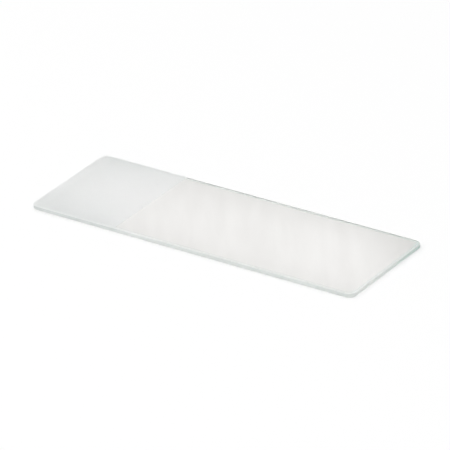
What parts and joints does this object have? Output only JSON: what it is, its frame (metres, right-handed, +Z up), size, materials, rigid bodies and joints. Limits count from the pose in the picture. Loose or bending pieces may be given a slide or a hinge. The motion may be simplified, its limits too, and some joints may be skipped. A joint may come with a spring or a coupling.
{
  "type": "microscope slide",
  "caption": "Flat rectangular glass plate that holds a specimen under a microscope, with ground bevelled edges, rounded corners and a frosted writing panel.",
  "frame": {"origin": "centre of the underside, the flat face that the slide lies on", "axes": "+X along the slide's length, away from the frosted end; +Y across its width; +Z up, out of the face that carries the specimen and the frosted panel"},
  "size_m": [0.075, 0.025, 0.001],
  "materials": {
    "glass": "clear polished faces, with a satin frosted panel and fine-ground edges"
  },
  "bodies": {
    "root": {"glass_slide": "glass"}
  },
  "joints": []
}
